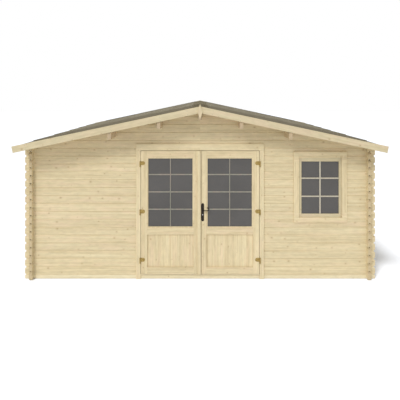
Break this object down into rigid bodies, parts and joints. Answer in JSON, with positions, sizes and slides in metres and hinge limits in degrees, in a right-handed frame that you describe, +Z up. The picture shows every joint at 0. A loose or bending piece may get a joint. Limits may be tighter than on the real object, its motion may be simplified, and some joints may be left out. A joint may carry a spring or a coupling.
{
  "type": "garden shed",
  "caption": "Log-built wooden garden shed with lapped corners, a low shingled gable roof, glazed double doors and one barred window.",
  "frame": {"origin": "on the ground, under the middle of the roof's length and width", "axes": "+Z up, -Y out of the doors, +X to the right seen from the front"},
  "size_m": [5.09, 5.574, 2.5055],
  "materials": {
    "log_wood": "matte",
    "trim_wood": "matte",
    "door_wood": "matte",
    "board_wood": "matte",
    "shingle": "rough",
    "glass": "gloss",
    "brass": "satin",
    "black_iron": "satin",
    "steel": "satin"
  },
  "bodies": {
    "shed": {"floor_joists": "board_wood", "floor_boards": "board_wood", "front_sill_log": "log_wood", "front_wall_left_logs": "log_wood", "front_wall_right_logs": "log_wood", "front_gable_logs": "log_wood", "back_wall_logs": "log_wood", "back_gable_logs": "log_wood", "left_wall_logs": "log_wood", "right_wall_logs": "log_wood", "ridge_purlin": "board_wood", "side_purlins": "board_wood", "left_roof_boards": "board_wood", "right_roof_boards": "board_wood", "left_shingles": "shingle", "right_shingles": "shingle", "ridge_strip": "shingle", "front_bargeboards": "trim_wood", "back_bargeboards": "trim_wood", "ridge_diamonds": "trim_wood", "eave_boards": "trim_wood", "door_frame": "trim_wood", "door_casing": "trim_wood", "door_sill": "trim_wood", "hinge_pins": "brass", "window_frame": "trim_wood", "window_casing": "trim_wood", "window_sash": "trim_wood", "window_glass": "glass"},
    "left_door": {"left_leaf_stiles": "door_wood", "left_leaf_rails": "door_wood", "left_leaf_panel": "door_wood", "left_leaf_glass": "glass", "left_leaf_beads": "door_wood", "left_leaf_hinges": "brass", "meeting_strip": "door_wood"},
    "right_door": {"right_leaf_stiles": "door_wood", "right_leaf_rails": "door_wood", "right_leaf_panel": "door_wood", "right_leaf_glass": "glass", "right_leaf_beads": "door_wood", "right_leaf_hinges": "brass", "handle_plates": "black_iron", "lock_cylinder": "steel"},
    "handle": {"handle_lever": "black_iron"}
  },
  "joints": [
    {"name": "left_door_swing", "type": "hinge", "parent": "shed", "child": "left_door", "pos_m": [-0.853, -2.376, 0.95], "axis": [0, 0, -1], "range_deg": [0, 110]},
    {"name": "right_door_swing", "type": "hinge", "parent": "shed", "child": "right_door", "pos_m": [0.853, -2.376, 0.95], "axis": [0, 0, 1], "range_deg": [0, 110]},
    {"name": "handle_turn", "type": "hinge", "parent": "right_door", "child": "handle", "pos_m": [0.0375, -2.348, 0.984], "axis": [0, 1, 0], "range_deg": [0, 40], "stiffness_Nm_per_rad": 1.5, "springref_deg": -28.65}
  ]
}
